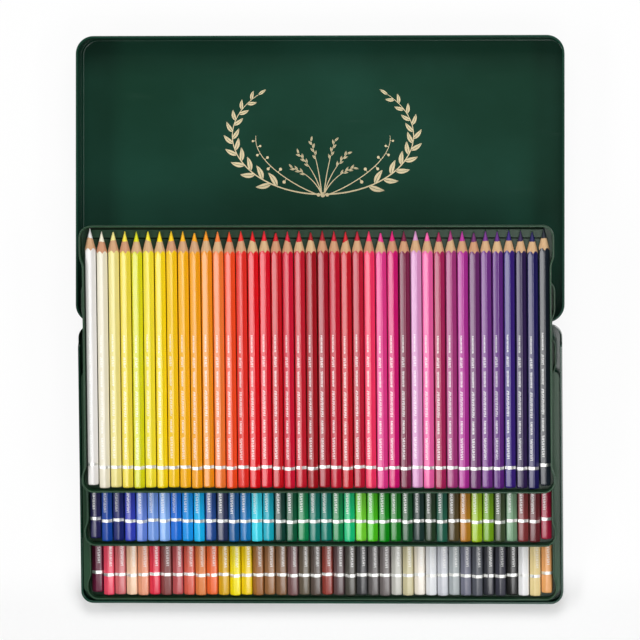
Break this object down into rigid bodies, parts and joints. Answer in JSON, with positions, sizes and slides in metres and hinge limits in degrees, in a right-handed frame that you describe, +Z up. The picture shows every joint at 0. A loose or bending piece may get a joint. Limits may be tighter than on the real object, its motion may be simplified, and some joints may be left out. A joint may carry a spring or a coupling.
{
  "type": "colored pencil tin",
  "caption": "Hinged sheet metal tin lying open, with staggered plastic trays of sharpened hexagonal colored pencils sorted by hue; the lid folds over as the trays slide home.",
  "frame": {"origin": "centre of the bounding box's footprint, on the table that the open tin lies on", "axes": "+X to the right along the hinge line, +Y towards the open lid, +Z up from the table"},
  "size_m": [0.3324, 0.3862, 0.0711],
  "materials": {
    "green_tin": "satin green lacquer on tinplate",
    "green_tray": "thin moulded dark green plastic",
    "hinge_wire": "plain steel wire",
    "lacquer_bottom_brick": "glossy lacquers of one colour family on cedar",
    "lacquer_bottom_grey": "glossy lacquers of one colour family on cedar",
    "lacquer_bottom_ochre": "glossy lacquers of one colour family on cedar",
    "lacquer_bottom_rose": "glossy lacquers of one colour family on cedar",
    "lacquer_bottom_umber": "glossy lacquers of one colour family on cedar",
    "lacquer_middle_green": "glossy lacquers of one colour family on cedar",
    "lacquer_middle_navy": "glossy lacquers of one colour family on cedar",
    "lacquer_middle_olive": "glossy lacquers of one colour family on cedar",
    "lacquer_middle_sky": "glossy lacquers of one colour family on cedar",
    "lacquer_middle_turquoise": "glossy lacquers of one colour family on cedar",
    "lacquer_middle_ultramarine": "glossy lacquers of one colour family on cedar",
    "lacquer_middle_wine": "glossy lacquers of one colour family on cedar",
    "lacquer_white": "glossy lacquer on cedar, sharpened",
    "lacquer_ivory": "glossy lacquer on cedar, sharpened",
    "lacquer_cream": "glossy lacquer on cedar, sharpened",
    "lacquer_pale_lemon": "glossy lacquer on cedar, sharpened",
    "lacquer_acid_yellow": "glossy lacquer on cedar, sharpened",
    "lacquer_lemon": "glossy lacquer on cedar, sharpened",
    "lacquer_light_yellow": "glossy lacquer on cedar, sharpened",
    "lacquer_yellow": "glossy lacquer on cedar, sharpened",
    "lacquer_sun_yellow": "glossy lacquer on cedar, sharpened",
    "lacquer_corn_yellow": "glossy lacquer on cedar, sharpened",
    "lacquer_gold_yellow": "glossy lacquer on cedar, sharpened",
    "lacquer_orange": "glossy lacquer on cedar, sharpened",
    "lacquer_deep_orange": "glossy lacquer on cedar, sharpened",
    "lacquer_vermilion": "glossy lacquer on cedar, sharpened",
    "lacquer_scarlet": "glossy lacquer on cedar, sharpened",
    "lacquer_signal_red": "glossy lacquer on cedar, sharpened",
    "lacquer_red": "glossy lacquer on cedar, sharpened",
    "lacquer_carmine": "glossy lacquer on cedar, sharpened",
    "lacquer_crimson": "glossy lacquer on cedar, sharpened",
    "lacquer_dark_red": "glossy lacquer on cedar, sharpened",
    "lacquer_deep_red": "glossy lacquer on cedar, sharpened",
    "lacquer_ruby": "glossy lacquer on cedar, sharpened",
    "lacquer_poppy_red": "glossy lacquer on cedar, sharpened",
    "lacquer_madder": "glossy lacquer on cedar, sharpened",
    "lacquer_rose": "glossy lacquer on cedar, sharpened",
    "lacquer_bright_pink": "glossy lacquer on cedar, sharpened",
    "lacquer_magenta": "glossy lacquer on cedar, sharpened",
    "lacquer_plum": "glossy lacquer on cedar, sharpened",
    "lacquer_pale_lilac": "glossy lacquer on cedar, sharpened",
    "lacquer_pink": "glossy lacquer on cedar, sharpened",
    "lacquer_raspberry": "glossy lacquer on cedar, sharpened",
    "lacquer_orchid": "glossy lacquer on cedar, sharpened",
    "lacquer_fuchsia": "glossy lacquer on cedar, sharpened",
    "lacquer_mulberry": "glossy lacquer on cedar, sharpened",
    "lacquer_violet": "glossy lacquer on cedar, sharpened",
    "lacquer_deep_violet": "glossy lacquer on cedar, sharpened",
    "lacquer_blue_violet": "glossy lacquer on cedar, sharpened",
    "lacquer_dark_indigo": "glossy lacquer on cedar, sharpened",
    "lacquer_night_blue": "glossy lacquer on cedar, sharpened",
    "lacquer_blue_black": "glossy lacquer on cedar, sharpened"
  },
  "bodies": {
    "base": {"base_shell": "green_tin", "base_hinge_knuckles": "green_tin", "hinge_pins": "hinge_wire", "bottom_tray": "green_tray", "bottom_pencils_brick": "lacquer_bottom_brick", "bottom_pencils_grey": "lacquer_bottom_grey", "bottom_pencils_ochre": "lacquer_bottom_ochre", "bottom_pencils_rose": "lacquer_bottom_rose", "bottom_pencils_umber": "lacquer_bottom_umber"},
    "lid": {"lid_shell": "green_tin", "lid_hinge_knuckles": "green_tin"},
    "middle_tray": {"middle_tray": "green_tray", "middle_pencils_green": "lacquer_middle_green", "middle_pencils_navy": "lacquer_middle_navy", "middle_pencils_olive": "lacquer_middle_olive", "middle_pencils_sky": "lacquer_middle_sky", "middle_pencils_turquoise": "lacquer_middle_turquoise", "middle_pencils_ultramarine": "lacquer_middle_ultramarine", "middle_pencils_wine": "lacquer_middle_wine"},
    "top_tray": {"top_tray": "green_tray"},
    "pencil_01_white": {"pencil_01_white": "lacquer_white"},
    "pencil_02_ivory": {"pencil_02_ivory": "lacquer_ivory"},
    "pencil_03_cream": {"pencil_03_cream": "lacquer_cream"},
    "pencil_04_pale_lemon": {"pencil_04_pale_lemon": "lacquer_pale_lemon"},
    "pencil_05_acid_yellow": {"pencil_05_acid_yellow": "lacquer_acid_yellow"},
    "pencil_06_lemon": {"pencil_06_lemon": "lacquer_lemon"},
    "pencil_07_light_yellow": {"pencil_07_light_yellow": "lacquer_light_yellow"},
    "pencil_08_yellow": {"pencil_08_yellow": "lacquer_yellow"},
    "pencil_09_sun_yellow": {"pencil_09_sun_yellow": "lacquer_sun_yellow"},
    "pencil_10_corn_yellow": {"pencil_10_corn_yellow": "lacquer_corn_yellow"},
    "pencil_11_gold_yellow": {"pencil_11_gold_yellow": "lacquer_gold_yellow"},
    "pencil_12_orange": {"pencil_12_orange": "lacquer_orange"},
    "pencil_13_deep_orange": {"pencil_13_deep_orange": "lacquer_deep_orange"},
    "pencil_14_vermilion": {"pencil_14_vermilion": "lacquer_vermilion"},
    "pencil_15_scarlet": {"pencil_15_scarlet": "lacquer_scarlet"},
    "pencil_16_signal_red": {"pencil_16_signal_red": "lacquer_signal_red"},
    "pencil_17_red": {"pencil_17_red": "lacquer_red"},
    "pencil_18_carmine": {"pencil_18_carmine": "lacquer_carmine"},
    "pencil_19_crimson": {"pencil_19_crimson": "lacquer_crimson"},
    "pencil_20_dark_red": {"pencil_20_dark_red": "lacquer_dark_red"},
    "pencil_21_deep_red": {"pencil_21_deep_red": "lacquer_deep_red"},
    "pencil_22_ruby": {"pencil_22_ruby": "lacquer_ruby"},
    "pencil_23_poppy_red": {"pencil_23_poppy_red": "lacquer_poppy_red"},
    "pencil_24_madder": {"pencil_24_madder": "lacquer_madder"},
    "pencil_25_rose": {"pencil_25_rose": "lacquer_rose"},
    "pencil_26_bright_pink": {"pencil_26_bright_pink": "lacquer_bright_pink"},
    "pencil_27_magenta": {"pencil_27_magenta": "lacquer_magenta"},
    "pencil_28_plum": {"pencil_28_plum": "lacquer_plum"},
    "pencil_29_pale_lilac": {"pencil_29_pale_lilac": "lacquer_pale_lilac"},
    "pencil_30_pink": {"pencil_30_pink": "lacquer_pink"},
    "pencil_31_raspberry": {"pencil_31_raspberry": "lacquer_raspberry"},
    "pencil_32_orchid": {"pencil_32_orchid": "lacquer_orchid"},
    "pencil_33_fuchsia": {"pencil_33_fuchsia": "lacquer_fuchsia"},
    "pencil_34_mulberry": {"pencil_34_mulberry": "lacquer_mulberry"},
    "pencil_35_violet": {"pencil_35_violet": "lacquer_violet"},
    "pencil_36_deep_violet": {"pencil_36_deep_violet": "lacquer_deep_violet"},
    "pencil_37_blue_violet": {"pencil_37_blue_violet": "lacquer_blue_violet"},
    "pencil_38_dark_indigo": {"pencil_38_dark_indigo": "lacquer_dark_indigo"},
    "pencil_39_night_blue": {"pencil_39_night_blue": "lacquer_night_blue"},
    "pencil_40_blue_black": {"pencil_40_blue_black": "lacquer_blue_black"}
  },
  "joints": [
    {"name": "lid_hinge", "type": "hinge", "parent": "base", "child": "lid", "pos_m": [0, -0.0022, 0.03338], "axis": [-1, 0, 0], "range_deg": [-187.5, 0]},
    {"name": "middle_tray_slide", "type": "slide", "parent": "base", "child": "middle_tray", "axis": [0, -0.9915, -0.1305], "range_m": [0, 0.0391]},
    {"name": "top_tray_slide", "type": "slide", "parent": "middle_tray", "child": "top_tray", "axis": [0, -0.9915, -0.1305], "range_m": [0, 0.0385]},
    {"name": "pencil_01_white_lift", "type": "slide", "parent": "top_tray", "child": "pencil_01_white", "axis": [0, -0.1305, 0.9915], "range_m": [0, 0.06]},
    {"name": "pencil_02_ivory_lift", "type": "slide", "parent": "top_tray", "child": "pencil_02_ivory", "axis": [0, -0.1305, 0.9915], "range_m": [0, 0.06]},
    {"name": "pencil_03_cream_lift", "type": "slide", "parent": "top_tray", "child": "pencil_03_cream", "axis": [0, -0.1305, 0.9915], "range_m": [0, 0.06]},
    {"name": "pencil_04_pale_lemon_lift", "type": "slide", "parent": "top_tray", "child": "pencil_04_pale_lemon", "axis": [0, -0.1305, 0.9915], "range_m": [0, 0.06]},
    {"name": "pencil_05_acid_yellow_lift", "type": "slide", "parent": "top_tray", "child": "pencil_05_acid_yellow", "axis": [0, -0.1305, 0.9915], "range_m": [0, 0.06]},
    {"name": "pencil_06_lemon_lift", "type": "slide", "parent": "top_tray", "child": "pencil_06_lemon", "axis": [0, -0.1305, 0.9915], "range_m": [0, 0.06]},
    {"name": "pencil_07_light_yellow_lift", "type": "slide", "parent": "top_tray", "child": "pencil_07_light_yellow", "axis": [0, -0.1305, 0.9915], "range_m": [0, 0.06]},
    {"name": "pencil_08_yellow_lift", "type": "slide", "parent": "top_tray", "child": "pencil_08_yellow", "axis": [0, -0.1305, 0.9915], "range_m": [0, 0.06]},
    {"name": "pencil_09_sun_yellow_lift", "type": "slide", "parent": "top_tray", "child": "pencil_09_sun_yellow", "axis": [0, -0.1305, 0.9915], "range_m": [0, 0.06]},
    {"name": "pencil_10_corn_yellow_lift", "type": "slide", "parent": "top_tray", "child": "pencil_10_corn_yellow", "axis": [0, -0.1305, 0.9915], "range_m": [0, 0.06]},
    {"name": "pencil_11_gold_yellow_lift", "type": "slide", "parent": "top_tray", "child": "pencil_11_gold_yellow", "axis": [0, -0.1305, 0.9915], "range_m": [0, 0.06]},
    {"name": "pencil_12_orange_lift", "type": "slide", "parent": "top_tray", "child": "pencil_12_orange", "axis": [0, -0.1305, 0.9915], "range_m": [0, 0.06]},
    {"name": "pencil_13_deep_orange_lift", "type": "slide", "parent": "top_tray", "child": "pencil_13_deep_orange", "axis": [0, -0.1305, 0.9915], "range_m": [0, 0.06]},
    {"name": "pencil_14_vermilion_lift", "type": "slide", "parent": "top_tray", "child": "pencil_14_vermilion", "axis": [0, -0.1305, 0.9915], "range_m": [0, 0.06]},
    {"name": "pencil_15_scarlet_lift", "type": "slide", "parent": "top_tray", "child": "pencil_15_scarlet", "axis": [0, -0.1305, 0.9915], "range_m": [0, 0.06]},
    {"name": "pencil_16_signal_red_lift", "type": "slide", "parent": "top_tray", "child": "pencil_16_signal_red", "axis": [0, -0.1305, 0.9915], "range_m": [0, 0.06]},
    {"name": "pencil_17_red_lift", "type": "slide", "parent": "top_tray", "child": "pencil_17_red", "axis": [0, -0.1305, 0.9915], "range_m": [0, 0.06]},
    {"name": "pencil_18_carmine_lift", "type": "slide", "parent": "top_tray", "child": "pencil_18_carmine", "axis": [0, -0.1305, 0.9915], "range_m": [0, 0.06]},
    {"name": "pencil_19_crimson_lift", "type": "slide", "parent": "top_tray", "child": "pencil_19_crimson", "axis": [0, -0.1305, 0.9915], "range_m": [0, 0.06]},
    {"name": "pencil_20_dark_red_lift", "type": "slide", "parent": "top_tray", "child": "pencil_20_dark_red", "axis": [0, -0.1305, 0.9915], "range_m": [0, 0.06]},
    {"name": "pencil_21_deep_red_lift", "type": "slide", "parent": "top_tray", "child": "pencil_21_deep_red", "axis": [0, -0.1305, 0.9915], "range_m": [0, 0.06]},
    {"name": "pencil_22_ruby_lift", "type": "slide", "parent": "top_tray", "child": "pencil_22_ruby", "axis": [0, -0.1305, 0.9915], "range_m": [0, 0.06]},
    {"name": "pencil_23_poppy_red_lift", "type": "slide", "parent": "top_tray", "child": "pencil_23_poppy_red", "axis": [0, -0.1305, 0.9915], "range_m": [0, 0.06]},
    {"name": "pencil_24_madder_lift", "type": "slide", "parent": "top_tray", "child": "pencil_24_madder", "axis": [0, -0.1305, 0.9915], "range_m": [0, 0.06]},
    {"name": "pencil_25_rose_lift", "type": "slide", "parent": "top_tray", "child": "pencil_25_rose", "axis": [0, -0.1305, 0.9915], "range_m": [0, 0.06]},
    {"name": "pencil_26_bright_pink_lift", "type": "slide", "parent": "top_tray", "child": "pencil_26_bright_pink", "axis": [0, -0.1305, 0.9915], "range_m": [0, 0.06]},
    {"name": "pencil_27_magenta_lift", "type": "slide", "parent": "top_tray", "child": "pencil_27_magenta", "axis": [0, -0.1305, 0.9915], "range_m": [0, 0.06]},
    {"name": "pencil_28_plum_lift", "type": "slide", "parent": "top_tray", "child": "pencil_28_plum", "axis": [0, -0.1305, 0.9915], "range_m": [0, 0.06]},
    {"name": "pencil_29_pale_lilac_lift", "type": "slide", "parent": "top_tray", "child": "pencil_29_pale_lilac", "axis": [0, -0.1305, 0.9915], "range_m": [0, 0.06]},
    {"name": "pencil_30_pink_lift", "type": "slide", "parent": "top_tray", "child": "pencil_30_pink", "axis": [0, -0.1305, 0.9915], "range_m": [0, 0.06]},
    {"name": "pencil_31_raspberry_lift", "type": "slide", "parent": "top_tray", "child": "pencil_31_raspberry", "axis": [0, -0.1305, 0.9915], "range_m": [0, 0.06]},
    {"name": "pencil_32_orchid_lift", "type": "slide", "parent": "top_tray", "child": "pencil_32_orchid", "axis": [0, -0.1305, 0.9915], "range_m": [0, 0.06]},
    {"name": "pencil_33_fuchsia_lift", "type": "slide", "parent": "top_tray", "child": "pencil_33_fuchsia", "axis": [0, -0.1305, 0.9915], "range_m": [0, 0.06]},
    {"name": "pencil_34_mulberry_lift", "type": "slide", "parent": "top_tray", "child": "pencil_34_mulberry", "axis": [0, -0.1305, 0.9915], "range_m": [0, 0.06]},
    {"name": "pencil_35_violet_lift", "type": "slide", "parent": "top_tray", "child": "pencil_35_violet", "axis": [0, -0.1305, 0.9915], "range_m": [0, 0.06]},
    {"name": "pencil_36_deep_violet_lift", "type": "slide", "parent": "top_tray", "child": "pencil_36_deep_violet", "axis": [0, -0.1305, 0.9915], "range_m": [0, 0.06]},
    {"name": "pencil_37_blue_violet_lift", "type": "slide", "parent": "top_tray", "child": "pencil_37_blue_violet", "axis": [0, -0.1305, 0.9915], "range_m": [0, 0.06]},
    {"name": "pencil_38_dark_indigo_lift", "type": "slide", "parent": "top_tray", "child": "pencil_38_dark_indigo", "axis": [0, -0.1305, 0.9915], "range_m": [0, 0.06]},
    {"name": "pencil_39_night_blue_lift", "type": "slide", "parent": "top_tray", "child": "pencil_39_night_blue", "axis": [0, -0.1305, 0.9915], "range_m": [0, 0.06]},
    {"name": "pencil_40_blue_black_lift", "type": "slide", "parent": "top_tray", "child": "pencil_40_blue_black", "axis": [0, -0.1305, 0.9915], "range_m": [0, 0.06]}
  ],
  "couplings": [
    {"joint": "middle_tray_slide", "follows": "lid_hinge", "m_per_rad": -0.011948},
    {"joint": "top_tray_slide", "follows": "lid_hinge", "m_per_rad": -0.011765}
  ]
}
